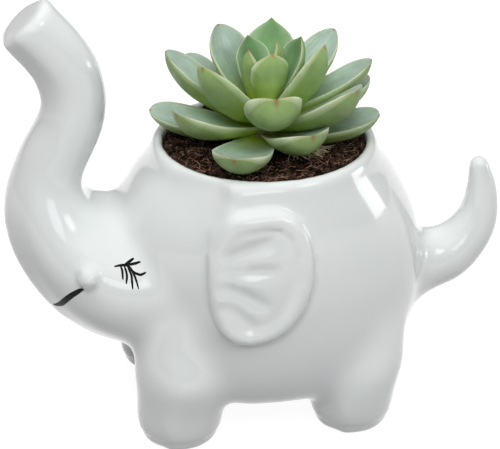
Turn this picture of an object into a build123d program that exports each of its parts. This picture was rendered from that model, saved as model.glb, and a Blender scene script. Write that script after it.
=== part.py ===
from build123d import *
import os
from math import cos, pi, radians, sin

os.makedirs("parts", exist_ok=True)

# Driving dimensions, in millimetres
# Torso: a round jar shape standing on four legs, its axis through the mouth
torso_front_reach = 62.0
torso_back_reach = 61.6
torso_half_width = 50.8
belly_height = 12.0
widest_height = 62.0
lip_height = 111.0
mouth_radius = 38.3
lip_roll = 5.0
lip_round = 1.6
neck_draw = 2.0
wall = 4.6

# Head and raised trunk
head_reach = 37.4
head_half_width = 36.5
notch_drop = 19.0
head_depth = 52.0
trunk_rise = 77.8
trunk_radius = 11.8
trunk_end_round = 2.2
head_seam_round = 6.0
head_space_radius = 21.0
head_space_reach = 80.0
head_space_drop = 27.0
head_space_round = 14.0

# Tail
tail_reach = 25.0
tail_rise = 43.0
tail_radius = 14.0
tail_height = 52.2
tail_tip_round = 3.0
tail_seam_round = 3.0
tail_joint = 2.6

# Legs
front_leg_place = 35.9
front_leg_radius = 18.8
front_foot_place = 37.9
front_foot_radius = 16.5
rear_leg_place = 28.2
rear_leg_radius = 17.4
rear_foot_place = 29.3
rear_foot_radius = 16.1
leg_spread = 29.0
foot_round = 8.5
foot_joint_drop = 0.6
leg_space_floor = 16.0
leg_space_top = 34.6

# Ears: raised plates that follow the torso, dished inside a rim
ear_width = 38.0
ear_height = 50.4
ear_front = 28.9
ear_bottom = 51.2
ear_relief = 3.6
ear_set_back = 2.6
ear_round = 1.8
ear_rim = 4.6
ear_dish = 1.3
flute_radius = 8.0
flute_depth = 0.7

# Cheek knobs
knob_radius = 4.2
knob_forward = 8.8
knob_height = 72.6

# Drain hole and its mesh
drain_radius = 5.0
mesh_side = 20.0
mesh_thickness = 0.8
mesh_corner = 2.0
mesh_count = 5
mesh_opening = 2.4
mesh_pitch = 3.6

# Potting mix and the plug of roots that stands in it
mix_drop = 2.6
fill_clearance = 0.3
root_top_radius = 19.0
root_foot_radius = 14.0
root_depth = 42.0
root_round = 3.0
overrun = 6.0

# Stem and the leaves around it
stem_sink = 4.4
stem_rise = 22.0
stem_foot_radius = 6.4
stem_top_radius = 4.2
stem_tip_radius = 3.2
stem_tip_round = 1.2
plant_offset = 0.2
leaf_start = 2.0
leaf_length = 42.0
leaf_half_width = 10.5
leaf_thickness = 5.0
leaf_cup_share = 0.20

# Section tables: shares of the sizes above
# Belly to widest: height, then reach to the front, back and side
lower_torso_shares = [
    (0.00, 0.313, 0.400, 0.433),
    (0.05, 0.572, 0.627, 0.679),
    (0.18, 0.750, 0.805, 0.856),
    (0.42, 0.895, 0.927, 0.955),
    (0.72, 0.976, 0.992, 0.994),
    (1.00, 1.000, 1.000, 1.000),
]
# Widest to shoulder: height, then how much of the overhang past the lip is left
upper_torso_shares = [
    (0.275, 0.94, 0.87, 0.90),
    (0.549, 0.66, 0.58, 0.64),
    (0.765, 0.26, 0.23, 0.26),
]
neck_share = 0.912
# Rolled lip: height above the neck, and roll left outside the mouth
lip_shares = [
    (0.66, 0.80),
    (1.00, 0.42),
]
# Head: inner point and outer point of each section, then half width
# Distances along X are from the torso's front, heights from the notch
head_shares = [
    (-0.711, -0.192, -0.711, -0.98, 0.849),
    (-0.337, -0.115, -0.337, -1.12, 1.000),
    (-0.043, -0.087, -0.043, -1.11, 0.986),
    (0.099, -0.030, 0.315, -0.985, 0.890),
    (0.165, 0.010, 0.650, -0.745, 0.753),
    (0.196, 0.055, 0.900, -0.430, 0.616),
    (0.198, 0.110, 0.995, -0.077, 0.488),
]
# Trunk: centre forward and up, lean in degrees, depth share and width share
trunk_shares = [
    (0.499, 0.180, 8.6, 1.136, 1.200),
    (0.332, 0.337, 19.8, 1.063, 1.120),
    (0.239, 0.488, 4.7, 1.040, 1.034),
    (0.267, 0.594, -12.9, 1.040, 0.975),
    (0.378, 0.718, -29.7, 1.000, 0.958),
    (0.500, 0.800, -36.0, 0.975, 0.975),
    (0.590, 0.852, -38.4, 0.975, 0.980),
    (0.665, 0.898, -39.5, 0.975, 0.985),
]
# Tail: centre back and up, direction in degrees, radius share
tail_shares = [
    (-0.40, 0.000, 0, 1.080),
    (0.03, 0.000, 5, 0.980),
    (0.30, 0.020, 14, 0.870),
    (0.53, 0.080, 30, 0.800),
    (0.74, 0.188, 45, 0.715),
    (0.90, 0.325, 62, 0.645),
    (0.98, 0.480, 78, 0.560),
    (0.995, 0.635, 90, 0.485),
    (0.97, 0.785, 97, 0.405),
    (0.92, 0.935, 100, 0.300),
]
# Legs above the foot: height, centre lengthways and sideways, radius
front_leg_shares = [
    (0.36, 1.00, 1.00, 1.00),
    (0.58, 1.00, 0.99, 1.00),
    (0.78, 0.96, 0.88, 0.93),
    (0.92, 0.88, 0.72, 0.80),
]
rear_leg_shares = [
    (0.30, 1.06, 1.00, 1.00),
    (0.48, 1.16, 0.99, 1.00),
    (0.66, 1.22, 0.88, 0.93),
    (0.80, 1.15, 0.72, 0.80),
]
# Ear outline: back from its front edge, up from its lowest point
ear_shares = [
    (0.04, 0.82),
    (0.00, 0.61),
    (0.00, 0.41),
    (0.04, 0.20),
    (0.14, 0.06),
    (0.28, 0.00),
    (0.47, 0.00),
    (0.68, 0.06),
    (0.84, 0.18),
    (0.95, 0.34),
    (1.00, 0.51),
    (0.99, 0.69),
    (0.94, 0.83),
    (0.84, 0.94),
    (0.67, 1.00),
    (0.46, 1.00),
    (0.28, 0.98),
    (0.14, 0.92),
]
# Ear flutes: start and end, back and up as shares of the ear
flute_shares = [
    (0.16, 0.70, 0.58, 0.81),
    (0.15, 0.60, 0.60, 0.60),
    (0.14, 0.47, 0.50, 0.32),
    (0.18, 0.31, 0.36, 0.17),
]
# Leaf form: along, half width, thickness and lift of the curl
leaf_form_shares = [
    (0.00, 0.18, 0.34, 0.000),
    (0.14, 0.22, 0.46, 0.000),
    (0.34, 0.50, 0.86, 0.015),
    (0.54, 0.85, 1.00, 0.060),
    (0.72, 1.00, 0.92, 0.150),
    (0.87, 0.80, 0.66, 0.280),
    (0.96, 0.38, 0.34, 0.380),
    (1.00, 0.07, 0.09, 0.430),
]
# Leaves: turn about the stem and rise in degrees, length, width, height, curl
leaf_shares = [
    ("outer_1", 245, 5, 1.05, 1.00, 0.36, 0.25),
    ("outer_2", 289, 15, 0.90, 1.00, 0.36, 0.20),
    ("outer_3", 341, 7, 1.05, 1.00, 0.36, 0.25),
    ("outer_4", 25, 4, 1.03, 1.00, 0.39, 0.25),
    ("outer_5", 67, 5, 1.03, 1.00, 0.36, 0.25),
    ("outer_6", 110, 5, 1.03, 1.00, 0.36, 0.25),
    ("outer_7", 163, 2, 1.05, 1.00, 0.40, 0.25),
    ("lower_1", 267, 30, 0.92, 1.00, 0.55, 0.25),
    ("lower_2", 315, 25, 1.12, 1.00, 0.49, 0.25),
    ("lower_3", 5, 14, 1.03, 0.90, 0.53, 0.25),
    ("lower_4", 45, 22, 1.00, 0.90, 0.51, 0.25),
    ("lower_5", 90, 24, 1.00, 0.90, 0.51, 0.25),
    ("lower_6", 138, 22, 1.00, 0.90, 0.51, 0.25),
    ("lower_7", 203, 14, 0.98, 1.00, 0.50, 0.25),
    ("upper_1", 326, 48, 0.95, 0.90, 0.66, 0.25),
    ("upper_2", 353, 22, 1.07, 0.80, 0.70, 0.25),
    ("upper_3", 30, 32, 1.04, 0.85, 0.64, 0.25),
    ("upper_4", 75, 35, 1.00, 0.95, 0.65, 0.25),
    ("upper_5", 123, 43, 0.94, 0.90, 0.65, 0.25),
    ("upper_6", 168, 29, 1.07, 0.95, 0.65, 0.25),
    ("upper_7", 212, 37, 0.98, 0.95, 0.66, 0.25),
    ("heart_1", 277, 67, 0.66, 0.70, 0.78, 0.20),
    ("heart_2", 345, 76, 0.66, 0.40, 0.81, 0.20),
    ("heart_3", 16, 56, 0.73, 0.70, 0.79, 0.20),
    ("heart_4", 112, 60, 0.68, 0.70, 0.79, 0.20),
    ("heart_5", 200, 70, 0.63, 0.50, 0.79, 0.20),
]

upper_span = lip_height - widest_height
neck_height = widest_height + neck_share * upper_span
mouth_outer = mouth_radius + lip_roll
mix_height = lip_height - mix_drop
notch_height = lip_height - notch_drop
foot_height = belly_height - foot_joint_drop
tail_joint_place = torso_back_reach + tail_joint
stem_foot = mix_height - stem_sink


def oval(centre, along, across, start=0.0):
    """Closed curve: centre + along * cos(t) + across * sin(t), in two halves."""
    halves = []
    for first in (start, start + pi):
        turns = [first + pi * step / 6 for step in range(7)]
        points = [centre + along * cos(t) + across * sin(t) for t in turns]
        ends = [across * cos(t) - along * sin(t) for t in (turns[0], turns[-1])]
        halves.append(Spline(*points, tangents=ends))
    return Wire(halves)


def soft_end(sections, rounding):
    """Add a flat end whose edge is rounded by a quarter turn in three steps."""
    centre, along, across = sections[-1]
    outward = along.cross(across).normalized()
    if outward.dot(centre - sections[-2][0]) < 0:
        outward = outward * -1
    ended = list(sections)
    for turn in (pi / 6, pi / 3, pi / 2):
        shrink = rounding * (1 - cos(turn))
        ended.append((
            centre + outward * (rounding * sin(turn)),
            along.normalized() * (along.length - shrink),
            across.normalized() * (across.length - shrink),
        ))
    return ended


def level(height, front, back, side):
    """Horizontal torso section, split at its two sides."""
    centre = Vector((back - front) / 2, 0, height)
    return oval(centre, Vector((front + back) / 2, 0, 0), Vector(0, side, 0), pi / 2)


def torso_levels(inset):
    """Torso sections from the belly to the shoulder, drawn in by the inset."""
    floor = belly_height + inset
    levels = []
    for height, front, back, side in lower_torso_shares:
        levels.append((
            floor + height * (widest_height - floor),
            front * torso_front_reach - inset,
            back * torso_back_reach - inset,
            side * torso_half_width - inset,
        ))
    for height, front, back, side in upper_torso_shares:
        levels.append((
            widest_height + height * upper_span,
            mouth_outer + front * (torso_front_reach - mouth_outer) - inset,
            mouth_outer + back * (torso_back_reach - mouth_outer) - inset,
            mouth_outer + side * (torso_half_width - mouth_outer) - inset,
        ))
    return levels


def torso(outset=0.0):
    """Outer torso with its rolled lip, grown by the outset."""
    levels = torso_levels(-outset)
    radius = mouth_outer + outset
    levels.append((neck_height, radius, radius, radius))
    for height, roll in lip_shares:
        radius = mouth_radius + roll * lip_roll + outset
        levels.append((neck_height + height * (lip_height - neck_height), radius, radius, radius))
    return Solid.make_loft([level(*section) for section in levels])


def head_height(share):
    """Height from the notch: up by the trunk's rise, down by the head's depth."""
    return notch_height + share * (trunk_rise if share > 0 else head_depth)


def head_sections():
    """Head and trunk sections, turning about the notch."""
    neck = -torso_front_reach
    sections = []
    for inner_x, inner_z, outer_x, outer_z, width in head_shares:
        inner = Vector(neck - inner_x * head_reach, 0, head_height(inner_z))
        outer = Vector(neck - outer_x * head_reach, 0, head_height(outer_z))
        along = (outer - inner) / 2
        across = Vector(0, width * head_half_width, 0)
        sections.append(((inner + outer) / 2, along, across))
    for forward, up, lean, depth, width in trunk_shares:
        centre = Vector(neck - forward * head_reach, 0, notch_height + up * trunk_rise)
        facing = Vector(-cos(radians(lean)), 0, sin(radians(lean)))
        across = Vector(0, width * trunk_radius, 0)
        sections.append((centre, facing * (depth * trunk_radius), across))
    return sections


def capped_loft(sections, rounding, start=0.0):
    """Loft through the sections with a thin cap that softens its last edge."""
    ended = soft_end(sections, rounding)
    cap = ended[len(sections) - 1:]
    form = Solid.make_loft([oval(*section, start) for section in sections])
    return form + Solid.make_loft([oval(*section, start) for section in cap])


def head_and_trunk():
    """Outer head and trunk, closed by a flat trunk end with a softened edge."""
    return capped_loft(head_sections(), trunk_end_round)


def tail():
    """Tail curling up from the rump, with a rounded tip."""
    rings = []
    for back, up, direction, share in tail_shares:
        centre = Vector(torso_back_reach + back * tail_reach, 0, tail_height + up * tail_rise)
        radius = share * tail_radius
        turn = radians(direction)
        down = Vector(sin(turn), 0, -cos(turn)) * radius
        rings.append((centre, down, Vector(0, radius, 0)))
    return capped_loft(rings, tail_tip_round, pi / 2)


def leg(shares, place, radius, foot_place, foot_radius, side):
    """One leg with a rounded foot, its top leaning in under the torso."""
    foot = Vector(foot_place, side * leg_spread, foot_round)
    rings = [(foot, Vector(foot_radius, 0, 0), Vector(0, foot_radius, 0))]
    for height, lengthways, sideways, share in shares:
        across = share * radius
        centre = Vector(place * lengthways, side * leg_spread * sideways, height * widest_height)
        rings.append((centre, Vector(across, 0, 0), Vector(0, across, 0)))
    rings = soft_end(rings[::-1], foot_round)
    return Solid.make_loft([oval(*ring, pi / 2) for ring in rings])


def front_leg(side):
    """Front leg on one side."""
    return leg(
        front_leg_shares, -front_leg_place, front_leg_radius,
        -front_foot_place, front_foot_radius, side)


def rear_leg(side):
    """Rear leg on one side."""
    return leg(
        rear_leg_shares, rear_leg_place, rear_leg_radius,
        rear_foot_place, rear_foot_radius, side)


def below_joint():
    """Slab of space from the floor up to the line where the feet are joined on."""
    floor = (Align.CENTER, Align.CENTER, Align.MIN)
    return Box(4 * torso_back_reach, 4 * torso_half_width, foot_height, align=floor)


def leg_space(place, radius, side, inset):
    """Round space in the top of one leg, its lower edge soft."""
    grown = wall - inset
    height = leg_space_top - leg_space_floor + 2 * grown
    space = Cylinder(radius - inset, height, align=(Align.CENTER, Align.CENTER, Align.MIN))
    space = space.fillet(foot_round - inset, space.edges().group_by(Axis.Z)[0])
    return Pos(place, side * leg_spread, leg_space_floor - grown) * space


def head_space(inset):
    """Round space inside the head, its end soft, open to the torso."""
    reach = head_space_reach - inset
    space = Cylinder(head_space_radius - inset, reach, align=(Align.CENTER, Align.CENTER, Align.MIN))
    space = space.fillet(head_space_round - inset, space.edges().group_by(Axis.Z)[-1])
    return Pos(0, 0, notch_height - head_space_drop) * (Rot(0, -90, 0) * space)


def hollow(inset, top):
    """Space inside the walls, drawn in by the inset, up to the height given."""
    radius = mouth_radius + wall - inset
    throat = radius - neck_draw
    levels = torso_levels(inset)
    levels.append((neck_height, throat, throat, throat))
    space = Solid.make_loft([level(*section) for section in levels])
    start = neck_height - 2 * overrun
    mouth = Cylinder(radius, top - start, align=(Align.CENTER, Align.CENTER, Align.MIN))
    space += Pos(0, 0, start) * mouth
    for side in (-1, 1):
        space += leg_space(-front_foot_place, front_foot_radius, side, inset)
        space += leg_space(rear_foot_place, rear_foot_radius, side, inset)
    return space + head_space(inset)


def surface_point(form, x, z):
    """Point of a form nearest the viewer's side on the line through x and z."""
    line = Axis((x, -2 * torso_half_width, z), (0, 1, 0))
    found = form.find_intersection_points(line)
    return sorted((point for point, normal in found), key=lambda point: point.Y)[0]


def ear_point(back, up):
    """Point of the ear in its side view."""
    return Vector(back * ear_width - ear_front, 0, ear_bottom + up * ear_height)


def ear_prism(shares_inset):
    """Ear outline carried sideways from inside the torso to well outside it."""
    middle = ear_point(0.5, 0.5)
    drawn = []
    for back, up in ear_shares:
        arm = ear_point(back, up) - middle
        drawn.append(middle + arm.normalized() * (arm.length - shares_inset))
    outline = Face(Wire([Spline(*drawn, periodic=True)]))
    prism = extrude(outline, amount=torso_half_width + overrun, dir=(0, -1, 0))
    return prism - Pos(0, 0, widest_height) * Box(
        2 * torso_back_reach, torso_half_width, 2 * widest_height)


def flute(form, start_back, start_up, end_back, end_up):
    """Round-ended cutter that leaves a shallow groove in the ear's face."""
    out = Vector(0, flute_depth - flute_radius, 0)
    ends = []
    for back, up in ((start_back, start_up), (end_back, end_up)):
        place = ear_point(back, up)
        ends.append(surface_point(form, place.X, place.Z) + out)
    run = ends[1] - ends[0]
    barrel = Plane(origin=ends[0], z_dir=run) * Cylinder(
        flute_radius, run.length, align=(Align.CENTER, Align.CENTER, Align.MIN))
    tips = [Pos(*end) * Sphere(flute_radius) for end in ends]
    return barrel + tips


def ear():
    """Near ear: raised plate with a soft edge, dished inside its rim and fluted."""
    set_back = Pos(ear_set_back, 0, 0)
    plate = ear_prism(0.0) & (set_back * torso(ear_relief))
    face = plate.faces().sort_by(Axis.Y)[0]
    plate = plate.fillet(ear_round, face.edges())
    plate -= ear_prism(ear_rim) - (set_back * torso(ear_relief - ear_dish))
    cutters = [flute(plate, *ends) for ends in flute_shares]
    for cutter in cutters:
        plate -= cutter
    return plate


def cheek_knobs(head):
    """Round knob on each cheek, half sunk in the head's surface."""
    place = surface_point(head, -torso_front_reach - knob_forward, knob_height)
    near = Pos(*place) * Sphere(knob_radius)
    return near, mirror(near, Plane.XZ)


def outer_body():
    """Torso with its head and tail, softened where they meet."""
    body = torso()
    head = head_and_trunk()
    joined = body + head
    joined = joined.fillet(head_seam_round, new_edges(body, head, combined=joined))
    curl = tail()
    tailed = joined + curl
    return tailed.fillet(tail_seam_round, new_edges(joined, curl, combined=tailed))


def behind_joint():
    """Block of space behind the line where the curl of the tail is joined on."""
    behind = (Align.MIN, Align.CENTER, Align.CENTER)
    block = Box(2 * tail_reach, 4 * tail_radius, 4 * tail_rise, align=behind)
    return Pos(tail_joint_place, 0, tail_height) * block


def elephant_pot(body):
    """Fired shell above its feet: forms joined, hollowed out, drained and softened."""
    formed = body - behind_joint()
    for side in (-1, 1):
        formed += front_leg(side) - below_joint()
        formed += rear_leg(side) - below_joint()
    near_ear = ear()
    for form in (near_ear, mirror(near_ear, Plane.XZ), *cheek_knobs(head_and_trunk())):
        formed += form
    shell = formed - hollow(wall, lip_height + overrun)
    drain = Cylinder(drain_radius, 2 * wall + belly_height)
    shell -= Pos(0, 0, belly_height) * drain
    rings = shell.edges().filter_by(GeomType.CIRCLE)
    return shell.fillet(lip_round, rings.filter_by_position(Axis.Z, lip_height, lip_height).sort_by(SortBy.RADIUS)[:1])


def drain_mesh_pad():
    """Square of mesh with soft corners and a field of small openings."""
    pad = Box(mesh_side, mesh_side, mesh_thickness, align=(Align.CENTER, Align.CENTER, Align.MIN))
    pad = pad.fillet(mesh_corner, pad.edges().filter_by(Axis.Z))
    places = GridLocations(mesh_pitch, mesh_pitch, mesh_count, mesh_count)
    openings = places * Box(mesh_opening, mesh_opening, 3 * mesh_thickness)
    return Pos(0, 0, belly_height + wall) * (pad - openings)


def root_plug(grown):
    """Tapered plug of roots, with its foot rounded, grown all round the side."""
    foot = root_foot_radius + grown
    plug = Cone(foot, root_top_radius + grown, root_depth, align=(Align.CENTER, Align.CENTER, Align.MIN))
    plug = plug.fillet(root_round, plug.edges().group_by(Axis.Z)[0])
    return Pos(plant_offset, 0, mix_height - root_depth) * plug


def potting_mix():
    """Fill of the shell, resting on the mesh, with the socket for the plug."""
    fill = hollow(wall + fill_clearance, mix_height)
    side = mesh_side + 2 * fill_clearance
    pocket = Box(side, side, mesh_thickness, align=(Align.CENTER, Align.CENTER, Align.MIN))
    fill -= Pos(0, 0, belly_height + wall) * pocket
    return fill - root_plug(fill_clearance)


def stem():
    """Short woody stem that narrows upwards to a soft tip."""
    profile = [
        (0.00, stem_foot_radius),
        (0.18, stem_foot_radius),
        (0.73, stem_top_radius),
        (1.00, stem_tip_radius),
    ]
    points = [(radius, stem_foot + share * stem_rise) for share, radius in profile]
    outline = Polyline((0, stem_foot), *points, (0, stem_foot + stem_rise), close=True)
    turned = revolve(make_face(Plane.XZ * outline), Axis.Z)
    turned = turned.fillet(stem_tip_round, [turned.edges().filter_by(GeomType.CIRCLE).sort_by(Axis.Z)[-1]])
    return Pos(plant_offset, 0, 0) * turned


def leaf(turn, rise, length_share, width_share, height_share, curl):
    """Leaf with a cupped face and a thick keeled back, narrowing to a point."""
    length = leaf_length * length_share
    half_width = leaf_half_width * width_share
    thickness = leaf_thickness * width_share ** 0.5
    rings = []
    for along, width, depth, lift in leaf_form_shares:
        place = leaf_start + along * (length - leaf_start)
        edge = width * half_width
        spine = lift * curl * length
        brim = spine + leaf_cup_share * edge
        left = Vector(place, edge, brim)
        right = Vector(place, -edge, brim)
        face = Spline(left, Vector(place, 0, spine), right)
        back = Spline(right, Vector(place, 0, spine - depth * thickness), left)
        rings.append(Wire([face, back]))
    blade = Solid.make_loft(rings)
    height = stem_foot + height_share * stem_rise
    return Pos(plant_offset, 0, height) * (Rot(0, 0, turn) * (Rot(0, -rise, 0) * blade))


whole_body = outer_body()
pieces = {
    "elephant_pot": elephant_pot(whole_body),
    "tail": whole_body & behind_joint(),
    "foot_front_left": front_leg(-1) & below_joint(),
    "foot_front_right": front_leg(1) & below_joint(),
    "foot_rear_left": rear_leg(-1) & below_joint(),
    "foot_rear_right": rear_leg(1) & below_joint(),
    "drain_mesh_pad": drain_mesh_pad(),
    "potting_mix": potting_mix(),
    "stem": stem(),
}
pieces["root_ball"] = root_plug(0.0) - pieces["stem"]
for name, *shares in leaf_shares:
    pieces["leaf_" + name] = leaf(*shares) - pieces["stem"]

# The frame's origin lies under the middle of the whole part
low = min(piece.bounding_box().min.X for piece in pieces.values())
high = max(piece.bounding_box().max.X for piece in pieces.values())
for name, piece in pieces.items():
    export_step(Pos(-(low + high) / 2, 0, 0) * piece, "parts/" + name + ".step")
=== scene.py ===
import bmesh
import bpy
import numpy as np
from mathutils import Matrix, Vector
from mathutils.bvhtree import BVHTree


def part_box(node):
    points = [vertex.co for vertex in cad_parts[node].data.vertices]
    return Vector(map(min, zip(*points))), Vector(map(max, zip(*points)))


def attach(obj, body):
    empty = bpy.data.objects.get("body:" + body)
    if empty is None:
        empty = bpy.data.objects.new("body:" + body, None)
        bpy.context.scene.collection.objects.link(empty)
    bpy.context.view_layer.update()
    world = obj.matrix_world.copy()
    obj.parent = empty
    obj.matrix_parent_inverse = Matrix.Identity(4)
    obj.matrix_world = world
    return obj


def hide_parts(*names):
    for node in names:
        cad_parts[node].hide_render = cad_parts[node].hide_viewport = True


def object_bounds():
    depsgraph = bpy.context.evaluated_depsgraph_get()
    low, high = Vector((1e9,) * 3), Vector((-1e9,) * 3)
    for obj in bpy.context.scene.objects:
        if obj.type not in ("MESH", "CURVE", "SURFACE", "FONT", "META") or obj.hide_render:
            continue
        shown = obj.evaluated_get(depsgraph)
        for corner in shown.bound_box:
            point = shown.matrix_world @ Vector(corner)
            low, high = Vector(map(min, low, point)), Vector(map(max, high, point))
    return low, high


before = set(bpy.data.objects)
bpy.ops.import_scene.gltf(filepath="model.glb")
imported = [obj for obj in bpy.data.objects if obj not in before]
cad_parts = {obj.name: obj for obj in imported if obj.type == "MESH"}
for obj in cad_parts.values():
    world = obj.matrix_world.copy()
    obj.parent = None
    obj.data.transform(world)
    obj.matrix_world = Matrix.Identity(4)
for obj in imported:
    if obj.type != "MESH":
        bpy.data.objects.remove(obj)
CAD_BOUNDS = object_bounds()
MM = 0.001

bl_info = {
    "name": "Elephant Planter",
    "version": (1, 0, 0),
    "blender": (4, 5, 0),
    "location": "3D View > Sidebar > Planter",
    "description": "Dresses a ceramic elephant planter and its rosette succulent",
    "category": "Object",
}

MIX_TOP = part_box("potting_mix")[1][2]
ROOT_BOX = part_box("root_ball")
ROOT_FOOT, ROOT_TOP = ROOT_BOX[0][2], ROOT_BOX[1][2]
STEM_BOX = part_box("stem")
STEM_FOOT = STEM_BOX[0][2]
STEM_RISE = STEM_BOX[1][2] - STEM_BOX[0][2]
PLANT_CENTRE = (ROOT_BOX[0][0] + ROOT_BOX[1][0]) / 2
SHELL_NODES = [
    "elephant_pot", "tail",
    "foot_front_left", "foot_front_right", "foot_rear_left", "foot_rear_right",
]


def middle(node, axis):
    """Middle of a node's box along one axis, in millimetres."""
    low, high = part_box(node)
    return (low[axis] + high[axis]) / 2 / MM


FOOT_MIDDLES = [middle(node, 0) for node in ("foot_front_left", "foot_rear_left")]
FOOT_SPREAD = middle("foot_front_right", 1)

# Skin: how near the shell's pieces are welded, in metres, then its smoothing by
# steps ahead and back, first turns of all of it and of the ears, share of the
# turns that calm bulges, and how the ears are carved
WELD_REACH = 0.00002
STEP_AHEAD, STEP_BACK = 0.5, 0.515
FIRST_TURNS, FIRST_SHARE = 4, 0.6
EAR_TURNS, EAR_SHARE = 7, 0.9
CALM_TURNS = 0.45
CARVING_TURNS, CARVING_DEPTH = 30, 0.9

# Middle and reach of the ear, and middle of the cheek knob, along X and Z in
# millimetres
EAR_MIDDLE, EAR_REACH = (-7.2, 76.4), (21, 27)
KNOB_MIDDLE = (-67.9, 73.6)

# Groove round each foot in millimetres: height, half width and depth, and how
# far from the foot's middle it starts, is full and ends; then the heights
# between which glaze gives way to bare clay, in metres
GROOVE_HEIGHT, GROOVE_WIDTH, GROOVE_DEPTH = 5.2, 0.9, 0.4
GROOVE_REACH = (11, 13, 24)
CLAY_EDGE = (0.0009, 0.0014)

# Loose tops of the mix and of the root ball: inner and outer radius, rows and
# columns, then the sizes of what lies on them, and the seeds
MIX_RING, MIX_GRID = (19.5 * MM, 37.7 * MM), (50, 260)
BALL_RING, BALL_GRID = (6.0 * MM, 18.7 * MM), (40, 200)
LUMP_SIZE, CRUMB_SIZE = 14 * MM, 1.5 * MM
CRUMB_INSET, FIBRE_INSET, BALL_INSET = (1.2 * MM, 1 * MM), (1.5 * MM, 1 * MM), (1 * MM, 1 * MM)
FIBRE_LENGTH, FIBRE_RADIUS = 9 * MM, 0.16 * MM
LUMP_SEED, CRUMB_SEED, FIBRE_SEED = 7, 11, 13
BALL_CRUMB_SEED, ROOT_SEED, ROOTLET_SEED = 17, 23, 31
BALL_CRUMB_SHARE = 0.3

# Root ball's side in millimetres: radius at the foot, how much wider the top
# is, and how deep the roots' middles lie in it; then number and radius of the
# roots and of the rootlets, and places along and round each of them
BALL_RADIUS, BALL_FLARE, ROOT_SINK = 14.0, 5.0, 0.02
ROOTS, ROOT_RADIUS = 260, 0.13 * MM
ROOTLETS, ROOTLET_RADIUS = 80, 0.28 * MM
TUBE_STEPS, TUBE_SIDES = 9, 5

# Leaf form from base to tip: along, half width when blunt and when drawn out to
# a fine point, thickness of a common leaf and of one that is thickest near its
# end, and lift of the curl
LEAF_ALONG = np.array([0.00, 0.14, 0.34, 0.54, 0.70, 0.82, 0.90, 0.955, 0.985, 1.00])
LEAF_BLUNT = np.array([0.34, 0.46, 0.72, 0.93, 1.00, 0.97, 0.86, 0.65, 0.38, 0.03])
LEAF_SHARP = np.array([0.34, 0.48, 0.78, 0.97, 0.98, 0.78, 0.48, 0.20, 0.07, 0.01])
LEAF_DEPTH = np.array([0.55, 0.75, 1.00, 1.00, 0.90, 0.74, 0.56, 0.34, 0.15, 0.03])
LEAF_DEPTH_END = np.array([0.34, 0.38, 0.52, 0.78, 1.00, 1.02, 0.86, 0.56, 0.24, 0.04])
LEAF_LIFT = np.array([0.0, 0.0, 0.015, 0.06, 0.138, 0.235, 0.31, 0.376, 0.413, 0.43])
LEAF_GRID = (60, 44)

# How closely the rows crowd at the point, below which fineness a leaf counts as
# blunt, power of the back's bulge and how much less it is on a blunt leaf,
# height and half width of the keel, and height of the face's swelling
ROW_CROWDING = 1.5
BLUNT_BELOW = 0.3
BULGE_POWER, BLUNT_LOSS = 0.62, 0.22
KEEL_HEIGHT, KEEL_WIDTH = 0.10, 0.22
FACE_SWELLING = 0.10

# Leaves: name, turn and rise in degrees, length, width, height on the stem,
# curl, thickness, and how finely the point is drawn out
LEAVES = [
    ("outer_1", 245, 5, 1.05, 1.00, 0.36, 0.25, 1.20, 0.00),
    ("outer_2", 289, 15, 0.90, 1.00, 0.36, 0.20, 1.30, 0.10),
    ("outer_3", 341, 7, 1.05, 1.00, 0.36, 0.25, 1.10, 0.25),
    ("outer_4", 25, 4, 1.03, 1.00, 0.39, 0.25, 1.10, 0.25),
    ("outer_5", 67, 5, 1.03, 1.00, 0.36, 0.25, 1.10, 0.25),
    ("outer_6", 110, 5, 1.03, 1.00, 0.36, 0.25, 1.10, 0.25),
    ("outer_7", 163, 2, 1.05, 1.00, 0.40, 0.25, 1.10, 0.25),
    ("lower_1", 267, 30, 0.92, 1.00, 0.55, 0.25, 1.45, 0.00),
    ("lower_2", 315, 25, 1.12, 1.00, 0.49, 0.25, 1.35, 0.15),
    ("lower_3", 5, 14, 1.03, 0.90, 0.53, 0.25, 1.35, 0.15),
    ("lower_4", 45, 22, 1.00, 0.90, 0.51, 0.25, 1.35, 0.15),
    ("lower_5", 90, 24, 1.00, 0.90, 0.51, 0.25, 1.35, 0.15),
    ("lower_6", 138, 22, 1.00, 0.90, 0.51, 0.25, 1.35, 0.15),
    ("lower_7", 203, 14, 0.98, 1.00, 0.50, 0.25, 1.35, 0.15),
    ("upper_1", 326, 48, 0.95, 0.90, 0.66, 0.25, 1.40, 0.55),
    ("upper_2", 353, 22, 1.07, 0.80, 0.70, 0.25, 1.40, 0.55),
    ("upper_3", 30, 32, 1.04, 0.85, 0.64, 0.25, 1.40, 0.55),
    ("upper_4", 75, 35, 1.00, 0.95, 0.65, 0.25, 1.40, 1.00),
    ("upper_5", 123, 43, 0.94, 0.90, 0.65, 0.25, 1.40, 0.60),
    ("upper_6", 168, 29, 1.07, 0.95, 0.65, 0.25, 1.40, 0.55),
    ("upper_7", 212, 37, 0.98, 0.95, 0.66, 0.25, 1.40, 0.55),
    ("heart_1", 277, 67, 0.66, 0.70, 0.78, 0.20, 1.30, 1.00),
    ("heart_2", 345, 76, 0.66, 0.40, 0.81, 0.20, 1.25, 1.00),
    ("heart_3", 16, 56, 0.73, 0.70, 0.79, 0.20, 1.25, 1.00),
    ("heart_4", 112, 60, 0.68, 0.70, 0.79, 0.20, 1.25, 1.00),
    ("heart_5", 200, 70, 0.63, 0.50, 0.79, 0.20, 1.25, 1.00),
]


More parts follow.
